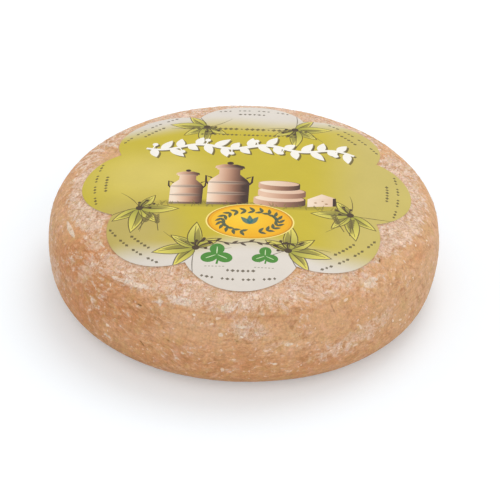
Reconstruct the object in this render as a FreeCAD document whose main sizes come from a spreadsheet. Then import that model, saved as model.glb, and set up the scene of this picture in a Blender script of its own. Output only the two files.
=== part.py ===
"""Whole wheel of sheep's milk cheese with a scalloped paper label on its top face.

Millimetres, +Z up. The origin is the centre of the flat base, and the label is read
upright from the -Y side. Two pieces: the wheel, turned from one closed profile, and
the paper, a thin layer that lies on the wheel's own crown.
"""
import FreeCAD, Part
import math
import os

import Sketcher
from FreeCAD import Vector

# Driving dimensions: alias, value in millimetres or degrees, what it sets.
DIMENSIONS = [
    ("wheel_diameter", 200.0, "across the widest part of the side"),
    ("wheel_height", 57.4, "flat base to the middle of the crown"),
    ("widest_depth", 32.2, "middle of the crown down to the widest part of the side"),
    ("rim_width", 37.4, "widest part of the side in to where the crown starts to round off"),
    ("crown_radius", 1000.0, "gentle dome left by the mould's lid"),
    ("haunch_radius", 75.0, "round between the crown and the shoulder"),
    ("shoulder_radius", 18.6, "upper edge of the side"),
    ("side_bulge_radius", 57.7, "belly of the side"),
    ("heel_radius", 14.5, "lower edge, down to the flat base"),
    ("label_thickness", 0.25, "paper with its coat of varnish"),
    ("label_margin", 16.8, "widest part of the side in to the tips of the label's lobes"),
    ("label_lobes", 8, "scallops round the label's edge"),
    ("scallop_depth", 12.3, "tip of a lobe in to the notch between two lobes"),
    ("label_turn", -1.94, "turn of the label about the wheel's axis"),
    ("label_shift_right", 0.95, "label's middle off the wheel's axis along X"),
    ("label_shift_back", -0.57, "label's middle off the wheel's axis along Y"),
]

START, END, CENTRE = 1, 2, 3      # the points of a sketch edge
ORIGIN = (-1, 1)                  # a sketch's own origin point
H_AXIS, V_AXIS = -1, -2           # and its horizontal and vertical axes


def make_sheet(doc):
    """Spreadsheet with one aliased row for each driving dimension."""
    sheet = doc.addObject("Spreadsheet::Sheet", "Sizes")
    for row, (alias, value, note) in enumerate(DIMENSIONS, start=1):
        sheet.set(f"A{row}", alias)
        sheet.set(f"B{row}", str(value))
        sheet.set(f"C{row}", note)
        sheet.setAlias(f"B{row}", alias)
    doc.recompute()
    return sheet


def origin_plane(body, role):
    """One of the body's own origin planes, such as XY_Plane."""
    return next(item for item in body.Origin.OriginFeatures if item.Role == role)


def add_sketch(body, name, role):
    """Empty sketch on one of the body's own origin planes."""
    sketch = body.newObject("Sketcher::SketchObject", name)
    sketch.AttachmentSupport = (origin_plane(body, role), [""])
    sketch.MapMode = "FlatFace"
    return sketch


def relate(sketch, kind, *points):
    """Add a geometric constraint, one without a dimension."""
    sketch.addConstraint(Sketcher.Constraint(kind, *points))


def drive(sketch, kind, *points, value, size):
    """Add a dimension, drawn at its value, and bind it to an expression on the sheet."""
    index = sketch.addConstraint(Sketcher.Constraint(kind, *points, value))
    sketch.setExpression(f"Constraints[{index}]", size)


def arc_between(centre, radius, start, end):
    """Counter-clockwise arc from one point to another, both at the radius from the centre."""
    angles = [math.atan2(point.y - centre.y, point.x - centre.x) for point in (start, end)]
    circle = Part.Circle(centre, Vector(0, 0, 1), radius)
    return Part.ArcOfCircle(circle, *angles)


def towards(start, other, distance):
    """Point at the distance from the start, on the line through the other point."""
    direction = other - start
    return start + direction * (distance / direction.Length)


def inner_tangent_centre(centre_a, radius_a, centre_b, radius_b, radius):
    """Centre of the outer of the two arcs that touch both circles from inside."""
    reach_a = radius_a - radius
    reach_b = radius_b - radius
    line = centre_b - centre_a
    along = (reach_a**2 - reach_b**2 + line.Length**2) / (2 * line.Length)
    across = math.sqrt(reach_a**2 - along**2)
    unit = line / line.Length
    normal = Vector(-unit.y, unit.x, 0)
    candidates = [centre_a + unit * along + normal * side * across for side in (1, -1)]
    return max(candidates, key=lambda point: point.x + point.y)


def draw_wheel_profile(sketch, sheet):
    """Half section of the wheel: base, heel, side, shoulder, haunch, crown and axis."""
    half = sheet.wheel_diameter / 2
    height = sheet.wheel_height
    crown_extent = half - sheet.rim_width
    side_centre = Vector(half - sheet.side_bulge_radius, height - sheet.widest_depth, 0)
    crown_centre = Vector(0, height - sheet.crown_radius, 0)
    crown_rise = math.sqrt(sheet.crown_radius**2 - crown_extent**2)
    crown_end = Vector(crown_extent, crown_centre.y + crown_rise, 0)
    haunch_centre = towards(crown_end, crown_centre, sheet.haunch_radius)
    shoulder_centre = inner_tangent_centre(
        haunch_centre, sheet.haunch_radius,
        side_centre, sheet.side_bulge_radius,
        sheet.shoulder_radius,
    )
    heel_drop = side_centre.y - sheet.heel_radius
    heel_reach = math.sqrt((sheet.side_bulge_radius - sheet.heel_radius) ** 2 - heel_drop**2)
    heel_centre = Vector(side_centre.x + heel_reach, sheet.heel_radius, 0)

    foot = Vector(0, 0, 0)
    base_edge = Vector(heel_centre.x, 0, 0)
    heel_end = towards(side_centre, heel_centre, sheet.side_bulge_radius)
    side_end = towards(side_centre, shoulder_centre, sheet.side_bulge_radius)
    shoulder_end = towards(haunch_centre, shoulder_centre, sheet.haunch_radius)
    top = Vector(0, height, 0)

    arcs = [
        (heel_centre, "heel_radius", base_edge, heel_end),
        (side_centre, "side_bulge_radius", heel_end, side_end),
        (shoulder_centre, "shoulder_radius", side_end, shoulder_end),
        (haunch_centre, "haunch_radius", shoulder_end, crown_end),
        (crown_centre, "crown_radius", crown_end, top),
    ]
    base = sketch.addGeometry(Part.LineSegment(foot, base_edge), False)
    edges = [
        sketch.addGeometry(arc_between(centre, sheet.getPropertyByName(size), start, end), False)
        for centre, size, start, end in arcs
    ]
    heel, side, shoulder, haunch, crown = edges
    axis = sketch.addGeometry(Part.LineSegment(top, foot), False)

    loop = [base] + edges
    for before, after in zip(loop, loop[1:]):
        relate(sketch, "Tangent", before, END, after, START)
    relate(sketch, "Coincident", crown, END, axis, START)
    relate(sketch, "Coincident", axis, END, base, START)
    relate(sketch, "Coincident", base, START, *ORIGIN)
    relate(sketch, "Horizontal", base)
    relate(sketch, "Vertical", axis)
    relate(sketch, "PointOnObject", crown, CENTRE, V_AXIS)

    for edge, (centre, size, start, end) in zip(edges, arcs):
        radius = sheet.getPropertyByName(size)
        drive(sketch, "Radius", edge, value=radius, size=f"Sizes.{size}")
    drive(sketch, "DistanceY", axis, END, axis, START, value=height, size="Sizes.wheel_height")
    drive(sketch, "DistanceY", side, CENTRE, axis, START, value=sheet.widest_depth,
          size="Sizes.widest_depth")
    drive(sketch, "DistanceX", *ORIGIN, side, CENTRE, value=side_centre.x,
          size="Sizes.wheel_diameter / 2 - Sizes.side_bulge_radius")
    drive(sketch, "DistanceX", *ORIGIN, haunch, END, value=crown_extent,
          size="Sizes.wheel_diameter / 2 - Sizes.rim_width")


def make_wheel(doc, sheet):
    """The cheese: its half section turned once round the vertical axis."""
    body = doc.addObject("PartDesign::Body", "CheeseWheel")
    body.Label = "cheese_wheel"
    profile = add_sketch(body, "WheelProfile", "XZ_Plane")
    draw_wheel_profile(profile, sheet)
    doc.recompute()
    turned = body.newObject("PartDesign::Revolution", "TurnedWheel")
    turned.Profile = profile
    turned.ReferenceAxis = (profile, ["V_Axis"])
    turned.Angle = 360.0
    doc.recompute()
    return body


def pad_sketch(body, sketch, name):
    """Pad the sketch by the wheel's height."""
    pad = body.newObject("PartDesign::Pad", name)
    pad.Profile = sketch
    pad.setExpression("Length", "Sizes.wheel_height")
    body.Document.recompute()
    return pad


def draw_middle(sketch, sheet):
    """Disc well inside the notches, which closes the middle of the ring of lobes."""
    radius = sheet.wheel_diameter / 2 - sheet.label_margin - 2 * sheet.scallop_depth
    disc = sketch.addGeometry(Part.Circle(Vector(0, 0, 0), Vector(0, 0, 1), radius), False)
    relate(sketch, "Coincident", disc, CENTRE, *ORIGIN)
    drive(sketch, "Radius", disc, value=radius,
          size="Sizes.wheel_diameter / 2 - Sizes.label_margin - 2 * Sizes.scallop_depth")


def draw_lobe(sketch, sheet):
    """Circle on the X axis, through a lobe's tip and through the notch beside it."""
    tip = sheet.wheel_diameter / 2 - sheet.label_margin
    notch = tip - sheet.scallop_depth
    half_pitch = math.pi / sheet.label_lobes
    centre = (tip**2 - notch**2) / (2 * (tip - notch * math.cos(half_pitch)))
    notch_point = Vector(notch * math.cos(half_pitch), notch * math.sin(half_pitch), 0)
    foot = Vector(0, 0, 0)

    circle = Part.Circle(Vector(centre, 0, 0), Vector(0, 0, 1), tip - centre)
    lobe = sketch.addGeometry(circle, False)
    to_tip = sketch.addGeometry(Part.LineSegment(foot, Vector(tip, 0, 0)), True)
    to_notch = sketch.addGeometry(Part.LineSegment(foot, notch_point), True)

    relate(sketch, "PointOnObject", lobe, CENTRE, H_AXIS)
    relate(sketch, "Coincident", to_tip, START, *ORIGIN)
    relate(sketch, "Coincident", to_notch, START, *ORIGIN)
    relate(sketch, "PointOnObject", to_tip, END, H_AXIS)
    relate(sketch, "PointOnObject", to_tip, END, lobe)
    relate(sketch, "PointOnObject", to_notch, END, lobe)
    drive(sketch, "Distance", to_tip, value=tip,
          size="Sizes.wheel_diameter / 2 - Sizes.label_margin")
    drive(sketch, "Distance", to_notch, value=notch,
          size="Sizes.wheel_diameter / 2 - Sizes.label_margin - Sizes.scallop_depth")
    drive(sketch, "Angle", to_tip, START, to_notch, START, value=half_pitch,
          size="180 deg / Sizes.label_lobes")


def make_scalloped_punch(doc, sheet):
    """Cutter with the label's outline: a round middle and one lobe, repeated round it."""
    body = doc.addObject("PartDesign::Body", "ScallopedPunch")
    middle_sketch = add_sketch(body, "MiddleSketch", "XY_Plane")
    draw_middle(middle_sketch, sheet)
    pad_sketch(body, middle_sketch, "Middle")
    lobe_sketch = add_sketch(body, "LobeSketch", "XY_Plane")
    draw_lobe(lobe_sketch, sheet)
    lobe = pad_sketch(body, lobe_sketch, "Lobe")
    ring = body.newObject("PartDesign::PolarPattern", "LobeRing")
    ring.Originals = [lobe]
    ring.Axis = (lobe_sketch, ["N_Axis"])
    ring.Angle = 360.0
    ring.setExpression("Occurrences", "Sizes.label_lobes")
    body.Tip = ring
    body.setExpression(".Placement.Base.x", "Sizes.label_shift_right")
    body.setExpression(".Placement.Base.y", "Sizes.label_shift_back")
    body.setExpression(".Placement.Base.z", "Sizes.wheel_height - Sizes.widest_depth")
    body.setExpression(".Placement.Rotation.Angle", "Sizes.label_turn")
    doc.recompute()
    return body


def make_label(doc, sheet, wheel):
    """The paper: a layer of even thickness on the wheel, kept inside the scalloped outline."""
    coated = doc.addObject("Part::Offset", "CoatedWheel")
    coated.Source = wheel
    coated.setExpression("Value", "Sizes.label_thickness")
    coated.Join = "Arc"
    layer = doc.addObject("Part::Cut", "PaperLayer")
    layer.Base = coated
    layer.Tool = wheel
    label = doc.addObject("Part::Common", "Label")
    label.Label = "label"
    label.Base = layer
    label.Tool = make_scalloped_punch(doc, sheet)
    doc.recompute()
    return label


def check(doc, pieces):
    """Stop if any object failed to compute or a piece isn't one sound solid."""
    failed = [item.Name for item in doc.Objects if {"Invalid", "Error"} & set(item.State)]
    if failed:
        raise RuntimeError(f"failed to compute: {failed}")
    for piece in pieces:
        shape = piece.Shape
        if shape.isNull() or not shape.isValid() or len(shape.Solids) != 1:
            raise RuntimeError(f"{piece.Label} isn't one valid solid")


def main():
    doc = FreeCAD.newDocument("SheepCheese")
    sheet = make_sheet(doc)
    wheel = make_wheel(doc, sheet)
    label = make_label(doc, sheet, wheel)
    pieces = [wheel, label]
    check(doc, pieces)
    os.makedirs("parts", exist_ok=True)
    for piece in pieces:
        piece.Shape.exportStep(f"parts/{piece.Label}.step")
        print(f"{piece.Label}: {piece.Shape.Volume:.0f} mm3")


main()
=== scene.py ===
"""A ripened sheep's-milk cheese wheel with a scalloped paper label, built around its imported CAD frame."""
import math
import random

import bpy
import numpy as np
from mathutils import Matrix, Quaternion, Vector
from mathutils.geometry import delaunay_2d_cdt


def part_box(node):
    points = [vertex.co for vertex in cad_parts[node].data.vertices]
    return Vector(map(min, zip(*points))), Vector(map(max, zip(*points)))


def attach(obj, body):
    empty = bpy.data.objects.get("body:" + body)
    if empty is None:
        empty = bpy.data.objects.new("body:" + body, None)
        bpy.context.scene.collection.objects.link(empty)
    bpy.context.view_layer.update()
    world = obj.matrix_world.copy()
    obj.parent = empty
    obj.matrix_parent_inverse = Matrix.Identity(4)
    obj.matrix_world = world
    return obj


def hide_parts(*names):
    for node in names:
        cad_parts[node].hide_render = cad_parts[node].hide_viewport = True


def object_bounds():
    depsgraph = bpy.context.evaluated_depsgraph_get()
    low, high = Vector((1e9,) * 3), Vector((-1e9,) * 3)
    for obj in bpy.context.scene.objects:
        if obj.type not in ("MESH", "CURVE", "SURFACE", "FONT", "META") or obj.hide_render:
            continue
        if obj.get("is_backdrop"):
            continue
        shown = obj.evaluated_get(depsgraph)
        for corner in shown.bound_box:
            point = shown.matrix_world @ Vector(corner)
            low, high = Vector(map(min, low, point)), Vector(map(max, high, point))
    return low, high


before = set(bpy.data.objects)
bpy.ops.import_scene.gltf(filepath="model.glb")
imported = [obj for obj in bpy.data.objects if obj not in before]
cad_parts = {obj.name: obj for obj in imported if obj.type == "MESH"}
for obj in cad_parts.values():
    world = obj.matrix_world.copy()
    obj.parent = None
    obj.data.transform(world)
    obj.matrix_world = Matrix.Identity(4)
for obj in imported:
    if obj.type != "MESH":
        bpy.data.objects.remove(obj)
cad_low, cad_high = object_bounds()

# --- Rind ------------------------------------------------------------------------------------------------
# The skin of the wheel: washed sheep's-milk curd that dried, cracked and grew mould while it aged on a board.
# Its section is read off the CAD wheel and turned about the axis, then the mould's wrinkles, flakes, smears
# of paste and pits are raised on it, all within the CAD surface.

MM = 0.001
WHEEL_RADIUS = (cad_high.x - cad_low.x) / 2
TURN_STEPS = 900
SHOULDER_ROW = 0.62 * MM
SIDE_ROW = 0.95 * MM
UNDER_LABEL = 66 * MM       # down the section from its top, where the rind begins to show round the label
SHOULDER_END = 32 * MM      # and from there on
SIDE_END = 68 * MM
CORE_ROWS, HEEL_ROWS, BASE_ROWS = 4, 13, 5
FLAT = 1e-6                 # whatever lies lower belongs to the base
WELD = 0.005 * MM           # the turned skin's seam and poles are closed where they come this near


def read_section(node):
    """The half section of a turned CAD node, as (radius, height) rows from the top's middle to the base's."""
    corners = np.array([vertex.co for vertex in node.data.vertices])
    pairs = np.column_stack((np.hypot(corners[:, 0], corners[:, 1]), corners[:, 2]))
    pairs = np.unique(np.round(pairs, 6), axis=0)
    middle = np.array([0.6 * WHEEL_RADIUS, 0.5 * pairs[:, 1].max()])
    flat_base = pairs[pairs[:, 1] < FLAT]
    pairs = np.vstack((pairs[pairs[:, 1] > FLAT], [[flat_base[:, 0].max(), 0.0]]))
    turn = np.arctan2(pairs[:, 0] - middle[0], pairs[:, 1] - middle[1])
    return pairs[np.argsort(turn)]


def smooth_points(points, wanted):
    """Points at the wanted distances along a smooth curve through the given ones."""
    steps = np.hypot(*np.diff(points, axis=0).T)
    gone = np.concatenate(([0], np.cumsum(steps)))
    slopes = np.gradient(points, gone, axis=0)
    spot = np.clip(np.searchsorted(gone, wanted, side="right") - 1, 0, len(steps) - 1)
    span = steps[spot]
    part = ((wanted - gone[spot]) / span)[:, None]
    span = span[:, None]
    start, end = points[spot], points[spot + 1]
    lead, tail = slopes[spot] * span, slopes[spot + 1] * span
    return ((2 * part**3 - 3 * part**2 + 1) * start + (part**3 - 2 * part**2 + part) * lead
            + (3 * part**2 - 2 * part**3) * end + (part**3 - part**2) * tail)


section = read_section(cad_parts["cheese_wheel"])
section_length = np.hypot(*np.diff(section, axis=0).T).sum()
rows = np.concatenate((
    np.linspace(0, UNDER_LABEL - 2 * MM, CORE_ROWS),
    np.arange(UNDER_LABEL, UNDER_LABEL + SHOULDER_END, SHOULDER_ROW),
    np.arange(UNDER_LABEL + SHOULDER_END, UNDER_LABEL + SIDE_END, SIDE_ROW),
    np.linspace(UNDER_LABEL + SIDE_END, section_length, HEEL_ROWS),
))
turned = smooth_points(section, rows)
base_rows = np.column_stack((np.linspace(turned[-1, 0], 0, BASE_ROWS)[1:], np.zeros(BASE_ROWS - 1)))
profile = np.vstack((turned, base_rows))
drops = np.concatenate((rows - UNDER_LABEL, rows[-1] - UNDER_LABEL + turned[-1, 0] - base_rows[:, 0]))


def linear(hex_colour):
    """An sRGB hex colour as linear red, green, blue and alpha."""
    shares = [int(hex_colour[place:place + 2], 16) / 255 for place in (1, 3, 5)]
    return [s / 12.92 if s <= 0.04045 else ((s + 0.055) / 1.055) ** 2.4 for s in shares] + [1.0]


def add_node(tree, kind, inputs=(), **settings):
    """Adds a node with its settings. Its kind is given without ShaderNode in front, where it has that. Inputs
    come in order or by name, and each is given a value, or linked to a socket or to a node's output."""
    node = tree.nodes.new(kind if "Node" in kind else "ShaderNode" + kind)
    for name, value in settings.items():
        setattr(node, name, value)
    for key, value in inputs.items() if isinstance(inputs, dict) else enumerate(inputs):
        named = [entry for entry in node.inputs if entry.enabled and entry.name == key]
        socket = named[0] if named else node.inputs[key]
        if isinstance(value, bpy.types.Node):
            value = next(out for out in value.outputs if out.enabled)
        if isinstance(value, bpy.types.NodeSocket):
            tree.links.new(value, socket)
        else:
            socket.default_value = value
    return node


def new_tree(name, sizes):
    """A Geometry Nodes tree with a mesh in and out and the named size inputs."""
    tree = bpy.data.node_groups.new(name, "GeometryNodeTree")
    tree.interface.new_socket("Geometry", in_out="INPUT", socket_type="NodeSocketGeometry")
    tree.interface.new_socket("Geometry", in_out="OUTPUT", socket_type="NodeSocketGeometry")
    for label, value in sizes.items():
        kind = "NodeSocketInt" if isinstance(value, int) else "NodeSocketFloat"
        socket = tree.interface.new_socket(label, in_out="INPUT", socket_type=kind)
        socket.default_value = value
    return tree


def run_tree(piece, tree, sizes):
    """Runs a tree on a piece with the given sizes and keeps the result as the piece's plain mesh."""
    modifier = piece.modifiers.new(tree.name, "NODES")
    modifier.node_group = tree
    for item in tree.interface.items_tree:
        if item.in_out == "INPUT" and item.name in sizes:
            modifier[item.identifier] = sizes[item.name]
    graph = bpy.context.evaluated_depsgraph_get()
    graph.update()
    made = bpy.data.meshes.new_from_object(piece.evaluated_get(graph))
    piece.modifiers.remove(modifier)
    piece.data = made


def close_tree(tree, geometry):
    """Ends a Geometry Nodes tree: instances made real, a material slot, and the group's output."""
    solid = add_node(tree, "GeometryNodeRealizeInstances", {"Geometry": geometry})
    coated = add_node(tree, "GeometryNodeSetMaterial", {"Geometry": solid})
    add_node(tree, "NodeGroupOutput", {"Geometry": coated})


def new_piece(name, points=(), faces=()):
    """A mesh object in the scene, at the origin."""
    mesh = bpy.data.meshes.new(name)
    mesh.from_pydata(points, (), faces)
    piece = bpy.data.objects.new(name, mesh)
    bpy.context.scene.collection.objects.link(piece)
    return piece


rind = new_piece("rind", [(r, 0, z) for r, z in profile])
rind.data.attributes.new("drop", "FLOAT", "POINT").data.foreach_set("value", drops.astype(np.float32))

lathe_sizes = {"Turn Steps": TURN_STEPS, "Rows": len(profile), "Wheel Radius": WHEEL_RADIUS}
lathe = new_tree("turned_rind", lathe_sizes)
sizes = add_node(lathe, "NodeGroupInput").outputs
turns, row_count = sizes["Turn Steps"], sizes["Rows"]
columns = add_node(lathe, "Math", (turns, 1.0), operation="ADD")
grid = add_node(lathe, "GeometryNodeMeshGrid", {"Vertices X": columns, "Vertices Y": row_count})
index = add_node(lathe, "GeometryNodeInputIndex")
row = add_node(lathe, "Math", (index, row_count), operation="MODULO")
column = add_node(lathe, "Math", (index, row_count), operation="DIVIDE")
column = add_node(lathe, "Math", (column,), operation="FLOOR")
share = add_node(lathe, "Math", (column, turns), operation="DIVIDE")
angle = add_node(lathe, "Math", (share, 2 * math.pi), operation="MULTIPLY")
section_place = add_node(lathe, "GeometryNodeInputPosition")
section_row = add_node(lathe, "GeometryNodeSampleIndex", {
    "Geometry": sizes["Geometry"], "Value": section_place, "Index": row}, data_type="FLOAT_VECTOR")
drop_read = add_node(lathe, "GeometryNodeInputNamedAttribute", {"Name": "drop"})
drop_row = add_node(lathe, "GeometryNodeSampleIndex", {
    "Geometry": sizes["Geometry"], "Value": drop_read, "Index": row})
# The place on the skin as it would lie on a plain drum: every pattern follows this, so none is squeezed.
wrapped = add_node(lathe, "CombineXYZ", {"X": sizes["Wheel Radius"], "Z": drop_row})
wrapped = add_node(lathe, "VectorRotate", {"Vector": wrapped, "Angle": angle}, rotation_type="Z_AXIS")
spun = add_node(lathe, "VectorRotate", {"Vector": section_row, "Angle": angle}, rotation_type="Z_AXIS")
placed = add_node(lathe, "GeometryNodeSetPosition", {"Geometry": grid.outputs["Mesh"], "Position": spun})
stored = add_node(lathe, "GeometryNodeStoreNamedAttribute", {
    "Geometry": placed, "Name": "wrap", "Value": wrapped}, data_type="FLOAT_VECTOR")
closed = add_node(lathe, "GeometryNodeMergeByDistance", {"Geometry": stored, "Distance": WELD})
closed = add_node(lathe, "GeometryNodeFlipFaces", {"Mesh": closed})
close_tree(lathe, closed)
run_tree(rind, lathe, lathe_sizes)

# Where the label lies on the rind: a round sheet with eight lobes, cut with one punch.
LOBES = 8
LOBE_TIP = 83.2 * MM
LOBE_NOTCH = 70.9 * MM
LOBE_CENTRE = 53.55 * MM
LOBE_RADIUS = LOBE_TIP - LOBE_CENTRE
SHEET_CORE = 64 * MM
label_low, label_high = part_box("label")
LABEL_MIDDLE = Vector(((label_low.x + label_high.x) / 2, (label_low.y + label_high.y) / 2))
LABEL_TURN = math.radians(-1.94)


def inside_sheet(x, y, turned=0.0):
    """How far inside the label's outline points lie, in metres, when the sheet is turned by so much."""
    reach = np.hypot(x, y)
    lobe = 2 * math.pi / LOBES
    turn = (np.arctan2(y, x) - turned + lobe / 2) % lobe - lobe / 2
    in_lobe = LOBE_RADIUS - np.hypot(reach * np.cos(turn) - LOBE_CENTRE, reach * np.sin(turn))
    return np.maximum(in_lobe, SHEET_CORE - reach)


PATCH_ENDS = 1.45           # of its own half size
PATCH_FADES = 0.8


def patches_on(turn, drop, patches):
    """A soft field: each patch's strength to two thirds of the way to its edge, gone half again beyond it."""
    field = np.zeros_like(turn)
    for bearing, down, half_length, half_width, tilt, strength in patches:
        away = (turn - math.radians(bearing) + math.pi) % (2 * math.pi) - math.pi
        away = away * WHEEL_RADIUS / MM
        below = drop / MM - down
        lean = math.radians(tilt)
        long_way = (away * math.cos(lean) + below * math.sin(lean)) / half_length
        short_way = (below * math.cos(lean) - away * math.sin(lean)) / half_width
        edge = np.clip((PATCH_ENDS - np.hypot(long_way, short_way)) / PATCH_FADES, 0, 1)
        field = np.maximum(field, strength * edge)
    return field


# Where each growth and mark sits on the skin. A patch is its bearing in degrees (0 is +X, -90 the front), its
# distance in mm down the section from the label's edge, half length, half width, tilt and strength.
GROWTH = {
    "bloom": (
        (-177, 15, 42, 10, 0, 1), (-161, 14, 13, 9, 0, 1), (-203, 22, 16, 7, 0, 0.8),
        (-12, 17, 54, 11, 2, 1), (-33, 15, 14, 9, 0, 0.9), (18, 18, 20, 12, 0, 0.9),
        (48, 16, 30, 11, 0, 0.9), (84, 19, 26, 12, 0, 1), (116, 16, 28, 10, 0, 0.9),
        (141, 20, 20, 12, 0, 0.8),
    ),
    "flaky": (
        (-98, 18, 66, 12, 0, 1), (-128, 19, 20, 10, 0, 0.95), (-63, 18, 24, 12, 0, 0.85),
        (-88.5, 38, 9, 5.5, 8, 1), (-56, 53, 29, 6, -14, 0.68), (-47, 20, 14, 12, 0, 0.75),
        (-143, 31, 14, 6, -60, 0.7), (-140, 37, 18, 12, -30, 0.4), (-33, 38, 13, 7, 0, 0.32),
        (-79, 47, 7, 3, 0, 0.6), (-101, 37, 12, 4, 0, 0.5), (-136, 22, 14, 7, 0, 0.85),
        (-162, 53, 14, 9, -20, 0.75), (-20, 33, 20, 6, 0, 0.35), (-150, 20, 9, 5, 0, 0.8),
        (-95, 56, 44, 7, 0, 0.3), (-113, 40, 9, 6, 30, 0.4), (-153, 44, 20, 12, -25, 0.45),
        (-168, 40, 12, 12, 0, 0.4), (-136, 52, 16, 7, -15, 0.45), (-173, 22, 12, 3, 0, 0.6),
        (-178, 38, 12, 5, 0, 0.5), (-72, 39, 8, 5, -20, 0.4), (40, 40, 30, 9, 5, 0.8),
        (75, 30, 40, 8, -4, 0.7), (100, 52, 36, 7, 6, 0.8), (130, 36, 30, 8, 0, 0.8),
        (155, 50, 24, 8, -8, 0.7), (10, 46, 22, 8, 0, 0.7), (64, 14, 14, 8, 0, 0.9), (100, 14, 12, 7, 0, 0.8),
    ),
    "paste": (
        (-162, 26.5, 9, 1.5, 0, 1), (-126.5, 26.5, 14, 1.6, -6, 1), (-146.5, 18.2, 4.2, 1.0, 0, 0.9),
        (-153.5, 13.5, 7, 0.5, 30, 0.8), (-109.5, 27, 9, 2.8, 0, 0.9), (-94.5, 27.5, 4.5, 2.4, 0, 0.8),
        (-108, 11, 3.5, 1.2, 80, 0.8), (-115, 30, 2.0, 1.6, 0, 1), (-47.5, 28, 6, 3.2, 0, 0.9),
        (-96, 41, 1.5, 1.3, 0, 1), (-77, 47, 2.8, 1.2, 0, 1), (-87, 55, 3, 0.8, 0, 0.9),
        (-81, 58, 2.4, 0.8, 10, 1), (-95.5, 62, 1.1, 1.7, 0, 1), (-92.5, 47, 1.0, 0.8, 0, 0.9),
        (-132, 61, 3, 1.8, 0, 0.8), (-90, 36, 5, 1.6, 4, 0.8), (-86, 40, 3, 1.6, 20, 0.8),
        (-122, 17, 4, 1.2, -30, 0.6), (36, 30, 8, 1.6, 4, 0.9), (66, 44, 4, 1.4, -10, 0.9),
        (97, 27, 12, 1.8, 3, 0.9), (121, 50, 3, 1.6, 0, 0.9), (150, 33, 9, 2.2, -6, 0.9),
        (-8, 44, 3, 1.2, 0, 0.7),
    ),
    "bare": (
        (-65, 37, 12, 9, 0, 1), (-43, 24, 9, 5, 10, 1), (-172, 29.5, 13, 3.4, 4, 1),
        (-80, 19, 7, 3.5, 0, 0.8), (-60, 28, 6, 4, 0, 0.7), (-112, 50, 16, 9, 0, 0.4),
        (60, 36, 12, 8, 0, 0.8), (110, 40, 14, 8, 0, 0.8),
    ),
    "warm": (
        (-145, 42, 34, 24, 0, 1), (-150, 56, 28, 16, 0, 1), (-128, 40, 20, 14, 0, 0.8),
        (-122, 60, 40, 12, 0, 0.7), (-85, 62, 60, 9, 0, 0.6), (-100, 54, 30, 10, 0, 0.45),
        (-33, 60, 4, 3.5, 30, 0.9), (-24, 32, 6, 5, 0, 0.55), (-156, 32, 12, 7, 0, 0.7),
        (-118, 42, 14, 7, 0, 0.35), (-43, 22, 8, 4, 10, 0.3), (-68, 60, 22, 6, 0, 0.5),
        (30, 58, 40, 12, 0, 0.7), (92, 60, 50, 12, 0, 0.7), (150, 46, 40, 22, 0, 0.9),
    ),
    "pits": (
        (-92, 43.4, 1.5, 0.4, -40, 0.8), (-91.2, 44.6, 1.1, 0.35, 20, 0.8), (-121, 35, 1.4, 0.6, 10, 1),
        (-119.3, 56, 1.8, 0.6, 50, 1), (-39, 20.6, 1.7, 0.5, -30, 1), (-111, 49, 0.7, 0.6, 0, 1),
        (-63, 33, 2.4, 0.3, 80, 0.9), (-122, 12, 2.6, 0.3, 80, 0.8), (70, 40, 2.0, 0.5, 30, 1),
        (128, 56, 1.6, 0.6, 0, 1),
    ),
    "ledges": (
        (-88, 31.8, 27, 0.8, 1, 1), (-64, 30, 13, 0.7, -8, 0.8), (-100, 33.6, 9, 0.6, -3, 0.6),
        (-80, 34, 8, 0.6, 4, 0.6), (-127, 28.9, 15, 0.8, -6, 0.8), (-110, 31.2, 10, 0.7, 0, 0.8),
        (-84, 62, 16, 0.6, -3, 0.4), (-45, 58, 14, 0.6, -8, 0.5), (-58, 47, 12, 0.6, -12, 0.5),
        (-172, 26.6, 12, 0.7, 2, 0.6), (-90, 50, 10, 0.5, 2, 0.4), (-29, 31, 12, 0.7, 6, 0.6),
        (44, 31, 24, 0.8, 2, 0.9), (84, 33, 22, 0.8, -3, 0.9), (120, 30, 20, 0.8, 3, 0.8),
        (108, 56, 18, 0.6, 0, 0.5),
    ),
    "sag": ((-48, 68, 42, 16, 0, 1),),
}
RIM_LEVEL = 30 * MM         # above it a point can lie under the label
LABEL_EDGE = 1.2 * MM


def read_vectors(holders, part):
    """One vector from each of a mesh's corners, as rows."""
    flat = np.zeros(len(holders) * 3, np.float32)
    holders.foreach_get(part, flat)
    return flat.reshape(-1, 3)


wrap = read_vectors(rind.data.attributes["wrap"].data, "vector")
place = read_vectors(rind.data.vertices, "co")
bearing_of = np.arctan2(wrap[:, 1], wrap[:, 0])
drop_of = wrap[:, 2] / MM
fields = {name: patches_on(bearing_of, wrap[:, 2], patches) for name, patches in GROWTH.items()}
inside = inside_sheet(place[:, 0] - LABEL_MIDDLE.x, place[:, 1] - LABEL_MIDDLE.y, LABEL_TURN)
fields["covered"] = np.where(place[:, 2] > RIM_LEVEL, np.clip(0.5 + inside / LABEL_EDGE, 0, 1), 0)
# Down the side the skin is darker and browner towards the foot, then settles on the board.
fields["foot"] = np.clip((drop_of - 60) / 14, 0, 1)
fields["seated"] = np.clip((drop_of - 80) / 5, 0, 1)
for name, values in fields.items():
    layer = rind.data.attributes.new(name, "FLOAT", "POINT")
    layer.data.foreach_set("value", values.astype(np.float32))


def noise_shift(tree, noise, reach):
    """A random shift of up to half the reach each way, from a noise's colour."""
    shift = add_node(tree, "VectorMath", (noise.outputs["Color"], (0.5, 0.5, 0.5)), operation="SUBTRACT")
    return add_node(tree, "VectorMath", {0: shift, "Scale": reach}, operation="SCALE")


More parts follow.
